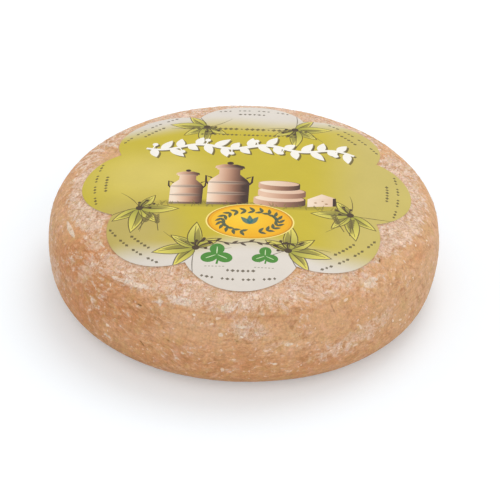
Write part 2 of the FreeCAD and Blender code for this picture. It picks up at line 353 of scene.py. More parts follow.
def fold_pattern(tree, spot):
    """Height from 0 to 1 of the mould's brain-like folds, about 2 mm from crest to crest."""
    bend = add_node(tree, "TexNoise", {"Vector": spot, "Scale": 420.0, "Detail": 2.0})
    bent = add_node(tree, "VectorMath", (spot, noise_shift(tree, bend, 1.5 * MM)), operation="ADD")
    maze = add_node(tree, "TexNoise", {"Vector": bent, "Scale": 330.0, "Detail": 0.0})
    waves = add_node(tree, "Math", (maze.outputs[0], 21.0), operation="MULTIPLY")
    waves = add_node(tree, "Math", (waves,), operation="SINE")
    return add_node(tree, "MapRange", {"Value": waves, "From Min": -1.0, "From Max": 0.8})


def crust_pattern(tree, spot):
    """The ragged grain of a dried crust, 0 to 1 about 0.5: in strokes that lean this way and that, as they
    were brushed, and rougher in some places than in others."""
    lean = add_node(tree, "TexNoise", {"Vector": spot, "Scale": 17.0, "Detail": 1.0})
    lean = add_node(tree, "Math", (lean, 45 * MM), operation="MULTIPLY")
    lean = add_node(tree, "CombineXYZ", {2: lean})
    leaning = add_node(tree, "VectorMath", (spot, lean), operation="ADD")
    squeezed = add_node(tree, "VectorMath", (leaning, (1.0, 1.0, 1.5)), operation="MULTIPLY")
    grain = add_node(tree, "TexNoise", {
        "Vector": squeezed, "Scale": 235.0, "Detail": 5.0, "Roughness": 0.66, "Distortion": 0.5})
    force = add_node(tree, "TexNoise", {"Vector": spot, "Scale": 60.0, "Detail": 2.0})
    force = add_node(tree, "MapRange", {
        "Value": force, "From Min": 0.35, "From Max": 0.65, "To Min": 0.55, "To Max": 1.4})
    grain = add_node(tree, "Math", (grain, 0.5), operation="SUBTRACT")
    return add_node(tree, "Math", (grain, force, 0.5), operation="MULTIPLY_ADD").outputs[0]


def cover_pattern(tree, crust, zone, bare_level, full_level, soft):
    """Cover from 0 to 1 where the crust's grain rises over a level that the zone's field lowers."""
    level = add_node(tree, "MapRange", {"Value": zone, "To Min": bare_level, "To Max": full_level})
    over = add_node(tree, "Math", (crust, level), operation="SUBTRACT")
    return add_node(tree, "MapRange", {"Value": over, "From Min": -soft, "From Max": soft},
                    interpolation_type="SMOOTHSTEP")


relief_sizes = {
    "Skin Depth": 0.32 * MM, "Depth Under Label": 0.1 * MM, "Fold Height": 0.26 * MM,
    "Flake Height": 0.1 * MM, "Paste Height": 0.14 * MM, "Pit Depth": 0.9 * MM, "Sway": 0.3 * MM,
    "Crust Grain": 0.5 * MM, "Ledge Depth": 0.3 * MM, "Sag": 0.7 * MM,
}
PASTE_COVER = (0.95, 0.34, 0.08)
relief = new_tree("raised_rind", relief_sizes)
sizes = add_node(relief, "NodeGroupInput").outputs
reads = {name: add_node(relief, "GeometryNodeInputNamedAttribute", {"Name": name})
         for name in fields}
spot = add_node(relief, "GeometryNodeInputNamedAttribute", {"Name": "wrap"}, data_type="FLOAT_VECTOR")
folds = fold_pattern(relief, spot)
crust = crust_pattern(relief, spot)
folds = add_node(relief, "Math", (folds, reads["bloom"]), operation="MULTIPLY")
flakes = cover_pattern(relief, crust, reads["flaky"], 0.69, 0.52, 0.05)
smears = cover_pattern(relief, crust, reads["paste"], *PASTE_COVER)
sway = add_node(relief, "TexNoise", {"Vector": spot, "Scale": 28.0, "Detail": 1.0})
sway = add_node(relief, "Math", (sway.outputs[0], 0.75), operation="SUBTRACT")
grain = add_node(relief, "Math", (crust, 0.5), operation="SUBTRACT")
height = add_node(relief, "Math", (folds, sizes["Fold Height"]), operation="MULTIPLY")
for amount, size in (
    (flakes, "Flake Height"), (smears, "Paste Height"), (sway, "Sway"), (grain, "Crust Grain"),
):
    height = add_node(relief, "Math", (amount, sizes[size], height), operation="MULTIPLY_ADD")
for amount, size in ((reads["pits"], "Pit Depth"), (reads["ledges"], "Ledge Depth")):
    dug = add_node(relief, "Math", (amount, sizes[size]), operation="MULTIPLY")
    height = add_node(relief, "Math", (height, dug), operation="SUBTRACT")
# The skin stays a hair within the wheel's own surface, closer still at the foot, and even under the label.
height = add_node(relief, "Math", (height, sizes["Skin Depth"]), operation="SUBTRACT")
height = add_node(relief, "Math", (height, -0.02 * MM), operation="MINIMUM")
height = add_node(relief, "Math", (reads["sag"], sizes["Sag"], height), operation="MULTIPLY_ADD")
under = add_node(relief, "Math", (sizes["Depth Under Label"], -1.0), operation="MULTIPLY")
for zone, level in ((reads["seated"], -0.01 * MM), (reads["covered"], under)):
    height = add_node(relief, "Mix", {"Factor": zone, "A": height, "B": level})
normal = add_node(relief, "GeometryNodeInputNormal")
push = add_node(relief, "VectorMath", {0: normal, "Scale": height}, operation="SCALE")
raised = add_node(relief, "GeometryNodeSetPosition", {"Geometry": sizes["Geometry"], "Offset": push})
close_tree(relief, raised)
run_tree(rind, relief, relief_sizes)
rind.data.shade_smooth()


def new_material(name):
    """A material whose tree is empty."""
    material = bpy.data.materials.new(name)
    material.use_nodes = True
    material.node_tree.nodes.clear()
    return material


def put_on(piece, *materials):
    """Gives a piece these materials and no others."""
    piece.data.materials.clear()
    for material in materials:
        piece.data.materials.append(material)


def coat_over(tree, tone, coat, cover, share=1.0):
    """A tone under a coat of another, which hides the given share of it where its cover is 1. Both are hex
    colours or nodes."""
    tone, coat = (linear(one) if isinstance(one, str) else one for one in (tone, coat))
    if share < 1:
        cover = add_node(tree, "Math", (cover, share), operation="MULTIPLY")
    return add_node(tree, "Mix", {"Factor": cover, "A": tone, "B": coat}, data_type="RGBA")


# Washed, mould-ripened cheese rind, air dried: dull, waxy tan skin, more terracotta where it was washed,
# pink-white folds of mould, chalky flakes, cream smears and a few brown cracks.
rind_skin = new_material("ripened_cheese_rind")
skin = rind_skin.node_tree
reads = {name: add_node(skin, "Attribute", attribute_name=name).outputs["Fac"] for name in fields}
spot = add_node(skin, "Attribute", attribute_name="wrap").outputs["Vector"]
crust = crust_pattern(skin, spot)
wide = add_node(skin, "TexNoise", {"Vector": spot, "Scale": 55.0, "Detail": 3.0, "Roughness": 0.6})
fine = add_node(skin, "TexNoise", {"Vector": spot, "Scale": 900.0, "Detail": 3.0, "Roughness": 0.7})

# Bare skin: tan, warmer where it was washed most, olive-tan in places, darker and browner towards the foot.
warmth = add_node(skin, "Math", (wide, 1.4, -0.72), operation="MULTIPLY_ADD")
warmth = add_node(skin, "Math", (reads["warm"], warmth), operation="ADD", use_clamp=True)
olive = add_node(skin, "TexNoise", {"Vector": spot, "Scale": 95.0, "Detail": 2.0})
olive = add_node(skin, "MapRange", {"Value": olive, "From Min": 0.52, "From Max": 0.75, "To Max": 0.4})
tone = coat_over(skin, "#D8AA80", "#CA8B5A", warmth)
tone = coat_over(skin, tone, "#CBA474", olive)
tone = coat_over(skin, tone, "#C08C5C", reads["foot"], 0.5)

# Its grain: painted shade in the hollows and painted highlights on the crests, with less of both where it was
# rubbed bare.
calm = add_node(skin, "MapRange", {"Value": reads["bare"], "To Min": 1.0, "To Max": 0.55})
grain = add_node(skin, "Math", (crust, 0.5), operation="SUBTRACT")
grain = add_node(skin, "Math", (grain, calm), operation="MULTIPLY")
painted_hollow_shade = add_node(skin, "MapRange", {"Value": grain, "From Min": -0.02, "From Max": -0.17, "To Max": 0.7})
crest = add_node(skin, "MapRange", {"Value": grain, "From Min": 0.03, "From Max": 0.17, "To Max": 0.68})
tone = coat_over(skin, tone, "#AF794D", painted_hollow_shade)
tone = coat_over(skin, tone, "#EAC6A3", crest)

# A thin cream coat of dried mould, ragged where it ends, with brown gaps in it and chalky flakes on it.
coat, gaps, flakes = (
    add_node(skin, "Math", (cover_pattern(skin, crust, reads["flaky"], *levels), calm), operation="MULTIPLY")
    for levels in ((0.72, 0.36, 0.09), (0.645, 0.505, 0.03), (0.69, 0.56, 0.03)))
cream = coat_over(skin, "#DCB799", "#E8D0BB", wide)
tone = coat_over(skin, tone, cream, coat, 0.8)
tone = coat_over(skin, tone, "#BC8458", gaps, 0.25)
tone = coat_over(skin, tone, "#F1DCCB", flakes, 0.7)

# Pink-white folds of mould over the shoulder, paler on the crests of the folds and of the grain: partly the
# mould's own colour, partly painted highlight.
folds = fold_pattern(skin, spot)
pale = add_node(skin, "Math", (grain, 2.2, 0.22), operation="MULTIPLY_ADD")
pale = add_node(skin, "Math", (folds, 0.55, pale), operation="MULTIPLY_ADD", use_clamp=True)
fold_tone = coat_over(skin, "#CAA284", "#EBCFB8", pale)
# A painted highlight on the grain's crests.
fold_tone = coat_over(skin, fold_tone, "#F3DFCE", crest)
bloom = cover_pattern(skin, crust, reads["bloom"], 0.85, 0.36, 0.1)
tone = coat_over(skin, tone, fold_tone, bloom)

# Smears of cream paste.
smears = cover_pattern(skin, crust, reads["paste"], *PASTE_COVER)
tone = coat_over(skin, tone, "#EBDCCB", smears, 0.75)

# Painted shade in the rind's grooves: fine orange-brown creases, mostly through the coat, and the ledges
# where the cloth ended.
crease = add_node(skin, "TexNoise", {
    "Vector": spot, "Scale": 250.0, "Detail": 4.0, "Roughness": 0.6, "Distortion": 0.8})
crease = add_node(skin, "Math", (crease, 0.5), operation="SUBTRACT")
crease = add_node(skin, "Math", (crease,), operation="ABSOLUTE")
crease = add_node(skin, "MapRange", {"Value": crease, "From Min": 0.034, "From Max": 0.004})
coated = add_node(skin, "Math", (coat, 0.45, 0.25), operation="MULTIPLY_ADD")
for share in (coated, calm):
    crease = add_node(skin, "Math", (crease, share), operation="MULTIPLY")
# Brown cracks in the pits, partly the rind's own brown and partly painted shade.
crack = add_node(skin, "Math", (fine, reads["pits"]), operation="MULTIPLY")
crack = add_node(skin, "MapRange", {"Value": crack, "From Min": 0.2, "From Max": 0.45})
tone = coat_over(skin, tone, "#BC7A4B", crease)
tone = coat_over(skin, tone, "#B87A4E", reads["ledges"], 0.35)
tone = coat_over(skin, tone, "#84552F", crack)

# Small flecks between them: dried mould in cream, and rust-brown spots, each half a millimetre to one across.
crumple = add_node(skin, "TexNoise", {"Vector": spot, "Scale": 500.0, "Detail": 2.0}).outputs["Color"]
crumple = add_node(skin, "VectorMath", {0: crumple, "Scale": 2.4 * MM}, operation="SCALE")
crumpled = add_node(skin, "VectorMath", (spot, crumple), operation="ADD")
for scale, part, least, colour in ((380.0, 0, 0.8, "#F1DDCA"), (330.0, 1, 0.78, "#AE6C40")):
    cells = add_node(skin, "TexVoronoi", {"Vector": crumpled, "Scale": scale}).outputs
    chosen = add_node(skin, "SeparateColor", (cells["Color"],)).outputs[part]
    chosen = add_node(skin, "Math", (chosen, least), operation="GREATER_THAN")
    fleck = add_node(skin, "MapRange", {"Value": cells["Distance"], "From Min": 0.3, "From Max": 0.16})
    for share in (chosen, calm):
        fleck = add_node(skin, "Math", (fleck, share), operation="MULTIPLY")
    tone = coat_over(skin, tone, colour, fleck, 0.5)

# Wiping left streaks in it, a little darker and lighter along the turn.
wipes = add_node(skin, "VectorMath", (spot, (1.0, 1.0, 3.2)), operation="MULTIPLY")
wipes = add_node(skin, "TexNoise", {
    "Vector": wipes, "Scale": 130.0, "Detail": 5.0, "Roughness": 0.68, "Distortion": 0.8})
wipes = add_node(skin, "MapRange", {
    "Value": wipes, "From Min": 0.32, "From Max": 0.68, "To Min": 0.92, "To Max": 1.08})
tone = add_node(skin, "VectorMath", {0: tone, "Scale": wipes}, operation="SCALE")

# Its hue drifts too: pinkish where the mould is damp, straw-coloured where it dried. A fine grit lies on it.
drift = add_node(skin, "TexNoise", {"Vector": spot, "Scale": 240.0, "Detail": 2.0})
for start, end, most, colour in ((0.54, 0.72, 0.3, "#E3B4A0"), (0.46, 0.28, 0.35, "#CBA868")):
    share = add_node(skin, "MapRange", {"Value": drift, "From Min": start, "From Max": end, "To Max": most})
    tone = coat_over(skin, tone, colour, share)
grit = add_node(skin, "MapRange", {
    "Value": fine, "From Min": 0.3, "From Max": 0.7, "To Min": 0.83, "To Max": 1.13})
tone = add_node(skin, "VectorMath", {0: tone, "Scale": grit}, operation="SCALE")

height = add_node(skin, "Math", (folds, bloom), operation="MULTIPLY")
for part, share in ((grain, 2.0), (fine, 0.5), (flakes, 0.5), (crease, -0.5)):
    height = add_node(skin, "Math", (part, share, height), operation="MULTIPLY_ADD")
bump = add_node(skin, "Bump", {"Height": height, "Strength": 0.7, "Distance": 0.25 * MM})
dull = add_node(skin, "MapRange", {"Value": crust, "To Min": 0.45, "To Max": 0.9})
surface = add_node(skin, "BsdfPrincipled", {
    "Base Color": tone, "Roughness": dull, "IOR": 1.45, "Specular IOR Level": 0.3, "Normal": bump,
    "Subsurface Weight": 0.3, "Subsurface Radius": (1.0, 0.55, 0.3), "Subsurface Scale": 1.5 * MM})
add_node(skin, "OutputMaterial", {"Surface": surface})
put_on(rind, rind_skin)
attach(rind, "root")
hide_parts("cheese_wheel")

# --- Mould crumbs ----------------------------------------------------------------------------------------
# Dry crumbs of mould and rind that rubbed off in handling and stuck again, cream to pinkish, 0.5 to 1.5 mm
# across and up to 4 mm long. They lie flat on the skin where the mould is breaking up.
FOOT_ENDS = (62 * MM, 66 * MM)          # crumbs thin out between these drops
SHOULDER_STARTS = (17 * MM, 30 * MM)
crumb_sizes = {
    "Per Square Metre": 42000.0, "Smallest": 0.25 * MM, "Largest": 0.75 * MM, "Flatness": 0.22, "Seed": 7,
}
crumbs = new_piece("mould_crumbs")
crumbs.data = rind.data.copy()
scatter = new_tree("scattered_crumbs", crumb_sizes)
sizes = add_node(scatter, "NodeGroupInput").outputs
flaky, bare, covered = (
    add_node(scatter, "GeometryNodeInputNamedAttribute", {"Name": name})
    for name in ("flaky", "bare", "covered"))
spot = add_node(scatter, "GeometryNodeInputNamedAttribute", {"Name": "wrap"}, data_type="FLOAT_VECTOR")
drop = add_node(scatter, "SeparateXYZ", (spot,)).outputs[2]
low = add_node(scatter, "MapRange", {
    "Value": drop, "From Min": FOOT_ENDS[0], "From Max": FOOT_ENDS[1], "To Min": 1.0, "To Max": 0.0})
high = add_node(scatter, "MapRange", {
    "Value": drop, "From Min": SHOULDER_STARTS[0], "From Max": SHOULDER_STARTS[1]})
clumps = add_node(scatter, "TexNoise", {"Vector": spot, "Scale": 90.0, "Detail": 2.0})
clumps = add_node(scatter, "MapRange", {"Value": clumps, "From Min": 0.5, "From Max": 0.72})
chance = add_node(scatter, "Math", (flaky, 0.7, clumps), operation="MULTIPLY_ADD")
for limit in (low, high):
    chance = add_node(scatter, "Math", (chance, limit), operation="MULTIPLY")
for barred in (bare, covered):
    free = add_node(scatter, "Math", (1.0, barred), operation="SUBTRACT")
    chance = add_node(scatter, "Math", (chance, free), operation="MULTIPLY")
density = add_node(scatter, "Math", (chance, sizes["Per Square Metre"]), operation="MULTIPLY")
points = add_node(scatter, "GeometryNodeDistributePointsOnFaces", {
    "Mesh": sizes["Geometry"], "Density": density, "Seed": sizes["Seed"],
}, distribute_method="RANDOM").outputs
pebble = add_node(scatter, "GeometryNodeMeshIcoSphere", {"Radius": 1.0, "Subdivisions": 1})
across = add_node(scatter, "FunctionNodeRandomValue", {
    "Min": sizes["Smallest"], "Max": sizes["Largest"], "Seed": 3})
length = add_node(scatter, "FunctionNodeRandomValue", {"Min": 0.8, "Max": 2.6, "Seed": 4})
longer = add_node(scatter, "Math", (across, length), operation="MULTIPLY")
thin = add_node(scatter, "Math", (across, sizes["Flatness"]), operation="MULTIPLY")
stretch = add_node(scatter, "CombineXYZ", (longer, across, thin))
spin = add_node(scatter, "FunctionNodeRandomValue", {"Min": -math.pi, "Max": math.pi, "Seed": 5})
spin = add_node(scatter, "CombineXYZ", {2: spin})
facing = add_node(scatter, "FunctionNodeRotateRotation", {
    "Rotation": points["Rotation"], "Rotate By": spin}, rotation_space="LOCAL")
laid = add_node(scatter, "GeometryNodeInstanceOnPoints", {
    "Points": points["Points"], "Instance": pebble.outputs["Mesh"], "Rotation": facing, "Scale": stretch})
shade = add_node(scatter, "FunctionNodeRandomValue", {"Min": 0.0, "Max": 1.0, "Seed": 6})
toned = add_node(scatter, "GeometryNodeStoreNamedAttribute", {
    "Geometry": laid, "Name": "tone", "Value": shade}, domain="INSTANCE")
solid = add_node(scatter, "GeometryNodeRealizeInstances", {"Geometry": toned})
rough = add_node(scatter, "TexNoise", {"Scale": 1300.0, "Detail": 1.0})
broken = add_node(scatter, "GeometryNodeSetPosition", {
    "Geometry": solid, "Offset": noise_shift(scatter, rough, 0.5 * MM)})
close_tree(scatter, broken)
run_tree(crumbs, scatter, crumb_sizes)

# Dried mould and curd: chalky and matt, from cream to faded pink.
crumb_stuff = new_material("dried_mould_crumb")
tree = crumb_stuff.node_tree
shade = add_node(tree, "Attribute", attribute_name="tone").outputs["Fac"]
dust = add_node(tree, "TexCoord").outputs["Object"]
dust = add_node(tree, "TexNoise", {"Vector": dust, "Scale": 1400.0, "Detail": 2.0})
shade = add_node(tree, "Math", (dust, 0.5, shade), operation="MULTIPLY_ADD")
shade = add_node(tree, "MapRange", {"Value": shade, "From Min": 0.1, "From Max": 1.3})
surface = add_node(tree, "BsdfPrincipled", {
    "Base Color": coat_over(tree, "#D2A07A", "#EFDCC6", shade), "Roughness": 0.85, "IOR": 1.45,
    "Specular IOR Level": 0.25})
add_node(tree, "OutputMaterial", {"Surface": surface})
put_on(crumbs, crumb_stuff)
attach(crumbs, "root")

# --- Label -----------------------------------------------------------------------------------------------
# A scalloped sheet of varnished paper, stuck on the crown with casein glue that left it a little cockled.
# Its print is a plain dairy still life with leaves in yellow-green, brown, amber and white. Each shape is cut
# into the sheet's mesh and inked through a colour on its corners.
SHEET_THICKNESS = 0.15 * MM
SHEET_TOP = 0.17 * MM
SHEET_GRID = 2.2            # mm between the corners of its plain grid
EDGE_CLEAR = 0.8 * MM       # and from the outermost of them to the punched edge
CROWN_REACH = 98 * MM

prints = []


def lay(outline, ink, cover=1.0):
    """Prints a shape over the last ones. Ink is a hex colour, or a function of x and y in mm that gives its
    linear parts, and cover is how much it hides of what lies under it."""
    prints.append((outline, np.array(linear(ink)[:3]) if isinstance(ink, str) else ink, cover))


def blend(stops, share):
    """An ink that passes through evenly spaced hex colours as share(x, y) goes from 0 to 1."""
    inks = np.array([linear(stop)[:3] for stop in stops])
    steps = np.linspace(0, 1, len(stops))
    return lambda x, y: np.array([np.interp(share(x, y), steps, inks[:, part]) for part in range(3)])


def move(outline, x, y, turn=0.0, size=1.0):
    """An outline scaled, turned by degrees and moved by mm."""
    c, s = math.cos(math.radians(turn)) * size, math.sin(math.radians(turn)) * size
    return [(x + c * px - s * py, y + s * px + c * py) for px, py in outline]


def lay_at(spot, outline, ink, cover=1.0):
    """Prints a shape moved to a spot, which is its x, y, turn and size."""
    lay(move(outline, *spot), ink, cover)


def at_bearing(bearing, reach):
    """The place at a bearing in degrees and a reach in mm from the sheet's middle."""
    return reach * math.cos(math.radians(bearing)), reach * math.sin(math.radians(bearing))


def oval(x, y, half_width, half_height, steps=28, start=0.0, end=360.0):
    """An ellipse or, with a start and end in degrees, a part of its rim."""
    whole = end - start == 360
    turns = [math.radians(start + (end - start) * i / (steps if whole else steps - 1)) for i in range(steps)]
    return [(x + half_width * math.cos(t), y + half_height * math.sin(t)) for t in turns]


def leaf(length, width, bend=0.0, steps=7):
    """A pointed leaf from the origin along +X, its widest place two fifths of the way, bent to one side."""
    upper, lower = [], []
    for i in range(steps + 1):
        share = i / steps
        half = width / 2 * math.sin(math.pi * share**0.8) ** 0.9 if 0 < i < steps else 0.0
        x, y = length * share, bend * length * share**2
        upper.append((x, y + half))
        lower.append((x, y - half))
    return lower + upper[-2:0:-1]


def stroke(path, width, taper=0.0):
    """A pen line of the given width along a path, thinned towards its ends by taper."""
    left, right = [], []
    for i, (x, y) in enumerate(path):
        ahead, behind = path[min(i + 1, len(path) - 1)], path[max(i - 1, 0)]
        run = math.hypot(ahead[0] - behind[0], ahead[1] - behind[1])
        nx, ny = -(ahead[1] - behind[1]) / run, (ahead[0] - behind[0]) / run
        half = width / 2 * (1 - taper * abs(2 * i / (len(path) - 1) - 1))
        left.append((x + nx * half, y + ny * half))
        right.append((x - nx * half, y - ny * half))
    return right + left[::-1]


def lobed_outline(steps):
    """The punched edge of the sheet, anticlockwise, in mm from its middle."""
    radius, centre, notch = LOBE_RADIUS / MM, LOBE_CENTRE / MM, LOBE_NOTCH / MM
    half_lobe = math.pi / LOBES
    sweep = math.atan2(notch * math.sin(half_lobe), notch * math.cos(half_lobe) - centre)
    points = []
    for lobe in range(LOBES):
        for i in range(steps):
            turn = sweep * (2 * i / steps - 1)
            x, y = centre + radius * math.cos(turn), radius * math.sin(turn)
            points += move([(x, y)], 0, 0, 360 * lobe / LOBES)
    return points


def step_between(low, high, value):
    """A smooth step from 0 at low to 1 at high."""
    share = min(max((value - low) / (high - low), 0.0), 1.0)
    return share * share * (3 - 2 * share)


def field_ink(x, y):
    """The sheet's ground: yellow-green, with a painted highlight at the left, paler at the right, painted
    shade at the near left, and white at the far and near lobes."""
    # A painted highlight at the left and painted shade at the near left.
    glow = 1 - step_between(6, 46, math.hypot(x + 50, (y - 6) * 1.3))
    paler_right = step_between(30, 62, x)
    shade = 1 - step_between(8, 38, math.hypot(x + 58, y + 40))
    far = step_between(49, 69, y - x * 0.1 + 3 * math.sin(x / 13))
    near = step_between(40, 58, -y - abs(x) * 0.16 + 2 * math.sin(x / 11 + 1))
    ink = np.array(linear("#C4B234")[:3])
    for other, share in (
        ("#D2C060", glow), ("#C6B564", paler_right), ("#BCAA5E", shade), ("#DAD2C8", max(far, near)),
    ):
        ink = ink + (np.array(linear(other)[:3]) - ink) * share
    return ink


lay(lobed_outline(34), field_ink)

# Sprigs between the lobes: five leaves in yellow-green with brown edges, and a few brown buds at the stem.
INK_BROWN = "#493A26"
LEAF_LIGHT = "#DCCF62"
LEAF_DARK = "#9C9A3C"
for bearing, reach, size, flip in (
    (112.5, 60, 1.0, 1), (67.5, 60, 1.0, -1), (203, 57, 1.05, 1), (-23, 57, 1.05, -1),
    (247.5, 59, 1.1, -1), (292.5, 59, 1.1, 1),
):
    x, y = at_bearing(bearing, reach)
    for turn, length, width, bend in (
        (-68, 15, 5.2, -0.12), (-28, 19, 6.4, -0.06), (12, 14, 5.0, 0.05), (58, 18, 6.2, 0.14),
        (118, 12, 4.6, 0.1),
    ):
        heading = bearing + 90 * flip + turn * flip
        spot = (x, y, heading, size)
        lay_at(spot, leaf(length + 0.9, width + 0.9, bend * flip), INK_BROWN, 0.85)
        green = blend([LEAF_DARK, LEAF_LIGHT], lambda px, py, x=x, y=y, far=length * size: (
            math.hypot(px - x, py - y) / far * 1.3 - 0.1))
        lay_at(spot, leaf(length, width, bend * flip), green)
        shade = [(px, py + width * 0.17 * flip) for px, py in leaf(length * 0.8, width * 0.5, bend * flip)]
        lay_at(spot, shade, INK_BROWN, 0.5)
        rib = [(length * 0.08 + length * 0.8 * i / 5, bend * flip * length * (0.08 + 0.8 * i / 5) ** 2)
               for i in range(6)]
        lay_at(spot, stroke(rib, 0.55, 0.5), INK_BROWN, 0.8)
    for turn, reach_out in ((160, 5.0), (185, 7.5), (-110, 4.5), (-140, 7.0)):
        spot = (x, y, bearing + turn * flip, size)
        lay_at(spot, stroke([(0, 0), (reach_out * 0.5, 0.4), (reach_out, 0.2)], 0.6), INK_BROWN)
        tip = move([(reach_out, 0)], *spot)[0]
        lay(oval(*tip, 0.9, 0.9, 8), INK_BROWN)
    lay(oval(x, y, 1.9, 1.9, 12), INK_BROWN)
    for turn, reach_out, curl in ((-10, 21, 0.25), (88, 18, -0.3), (-95, 15, 0.35)):
        tendril = [(reach_out * i / 9, curl * reach_out * (i / 9) ** 2) for i in range(10)]
        lay_at((x, y, bearing + turn * flip, size), stroke(tendril, 0.5, 0.7), INK_BROWN, 0.8)

# Beaded arcs along the lobes' edges.
for lobe in range(LOBES):
    for reach, first, last, pitch, length in ((76.5, -14, 14, 1.9, 1.7), (71.0, -5.0, 5.0, 2.0, 2.0)):
        beads = int((last - first) / pitch)
        for i in range(beads + 1):
            if reach > 74 and i % 4 == 3:
                continue
            bearing = 360 * lobe / LOBES + first + pitch * i
            wide = 1.15 if (i + lobe) % 2 else 0.8
            bead = [(-wide, 0), (0, -length / 2), (wide, 0), (0, length / 2)]
            x, y = at_bearing(bearing, reach)
            lay(move(bead, x, y, bearing + 90), "#54482F", 0.85)

# Two rows of small lozenges over the garland.
for y, half_span, size, pitch in ((54, 30, 1.35, 2.8), (48, 25, 1.0, 2.2)):
    places = int(2 * half_span / pitch)
    for i in range(places + 1):
        x = -half_span + pitch * i
        if i % 5 == 4:
            lay(oval(x, y, size * 0.45, size * 0.45, 8), "#5F5434", 0.85)
        else:
            lozenge = [(-size, 0), (-size * 0.1, -size), (size, 0), (size * 0.1, size)]
            lay(move(lozenge, x, y), "#5F5434", 0.85)

# The garland: a white vine with leaves and berries, over its own brown shadow.
vine = []
path = [(x, 33 + 3.0 * (1 - (x / 54) ** 2) + 2.1 * math.sin(x / 5.6)) for x in np.linspace(-53, 54, 72)]
vine.append(stroke(path, 2.5, 0.4))
for i in range(2, 70, 3):
    x, y = path[i]
    side = 1 if i % 2 else -1
    along = math.degrees(math.atan2(path[i + 1][1] - path[i - 1][1], path[i + 1][0] - path[i - 1][0]))
    length = 9.0 + 1.9 * math.sin(i * 1.7)
    vine.append(move(leaf(length, 4.7, 0.12 * side), x, y, along + side * 52))
    if i % 9 == 2:
        berry = move([(4.4, -1.6 * side)], x, y, along - side * 66)[0]
        vine.append(stroke([(x, y), ((x + berry[0]) / 2 + 0.3, (y + berry[1]) / 2), berry], 0.7))
        vine.append(oval(*berry, 1.5, 1.5, 12))
for right, down, ink, cover in (
    (1.1, 1.2, "#4A3C28", 0.8), (0.35, 0.4, "#8C8262", 0.7), (0, 0, "#F1EDE4", 1.0),
):
    for outline in vine:
        lay(move(outline, right, -down), ink, cover)


def ground_shade(x, y, half_width, half_height, depth):
    """A soft brown-green shadow on the meadow."""
    for size in (1.0, 0.8, 0.6, 0.4):
        lay(oval(x, y, half_width * size, half_height * size, 32), "#6E6230", depth)


# The still life: two milk churns, a stack of wheels and a wedge on the meadow, in cream-pink and dark brown.
CREAM_PINK = "#DDBC9E"
PALE_CREAM = "#F0DCC6"
DARK_BROWN = "#3E2A22"
CREAM_TO_BROWN = (PALE_CREAM, "#E3BFA4", "#C4977C", "#8C6450", DARK_BROWN)
ground_shade(-20, -17.5, 27, 3.6, 0.16)
ground_shade(24, -17.5, 25, 3.4, 0.16)


def churn(x, foot, size, dark):
    """A milk churn: foot ring, body, sloping shoulder, neck, lid and two handles, lit from the left."""
    half = 9.0
    spot = (x, foot, 0, size)
    light = blend(CREAM_TO_BROWN, lambda px, py: 0.42 + (px - x) / (half * size) * 0.6 + dark)
    body = [(half, 0), (half, 17), (half - 1.2, 19.5), (4.6, 23.5), (4.6, 27), (5.6, 27.4), (5.6, 28.6)]
    body = [(-half, 0)] + body + [(-px, py) for px, py in body[:0:-1]]
    for side in (-1, 1):
        grip = [(side * (half - 1.5), 20.5), (side * (half + 1.2), 22.2), (side * (half + 1.0), 17.6),
                (side * (half - 0.2), 15.5)]
        lay_at(spot, stroke(grip, 1.0), DARK_BROWN)
    lay_at(spot, body, light)
    lay_at(spot, [(-half, 0), (half, 0), (half, 1.8), (-half, 1.8)], DARK_BROWN, 0.75)
    for height in (8.2, 16.6):
        band = [(-half, height), (half, height), (half, height + 0.8), (-half, height + 0.8)]
        lay_at(spot, band, DARK_BROWN, 0.5)
    lid = [(-6.6, 28.4), (6.6, 28.4), (6.2, 30.2), (3, 31.6), (-3, 31.6), (-6.2, 30.2)]
    lay_at(spot, lid, blend(CREAM_TO_BROWN, lambda px, py: 0.6 + (px - x) / 14 + dark))
    lay_at(spot, oval(0, 32.6, 1.5, 1.2, 12), DARK_BROWN)


def wheel_side(x, foot, half, tall, dark):
    """A cheese wheel from the side: rounded rind, and its paler top as a thin oval."""
    rise = half * 0.24
    rim = (oval(x, foot + rise, half, rise, 14, 180, 360) + oval(x, foot + tall, half, rise, 14, 0, 180))
    lay(rim, blend(CREAM_TO_BROWN[1:], lambda px, py: 0.3 + (px - x) / half * 0.42 + dark))
    lay(oval(x, foot + tall, half * 0.95, rise * 0.92, 24), blend([PALE_CREAM, "#D3A98C"],
        lambda px, py: 0.4 + (px - x) / half * 0.5))


churn(-30, -18.5, 0.92, 0.0)
churn(-9, -18.5, 1.16, 0.16)
wheel_side(17, -19, 13.0, 7.5, 0.22)
wheel_side(18, -11.5, 12.0, 7.0, 0.0)
wheel_side(16.5, -4.5, 10.5, 6.4, 0.28)
wedge = [(31, -17.5), (45, -15.5), (45, -8.6), (31, -10.8)]
lay(wedge, blend([PALE_CREAM, CREAM_PINK], lambda px, py: (px - 31) / 14))
lay([(31, -10.8), (45, -8.6), (38, -5.6)], blend(["#F3E2CC", CREAM_PINK], lambda px, py: (px - 31) / 16))
lay([(43.6, -15.7), (45.2, -15.5), (45.2, -8.4), (43.6, -8.8)], DARK_BROWN)
for hole in ((35, -13.6, 0.8), (38.5, -11.8, 0.6), (40.4, -14, 0.9)):
    lay(oval(hole[0], hole[1], hole[2], hole[2] * 0.7, 8), "#B08A66")

# Blades of meadow grass along its foot.
blades = random.Random(11)
for i in range(64):
    x = blades.uniform(-45, 47)
    tuft = leaf(blades.uniform(2.2, 4.6), 0.75, blades.uniform(-0.3, 0.3), 4)
    lay(move(tuft, x, -19.5 + blades.uniform(-1.6, 1.0), 90 + blades.uniform(-38, 38)), "#7C7132", 0.6)

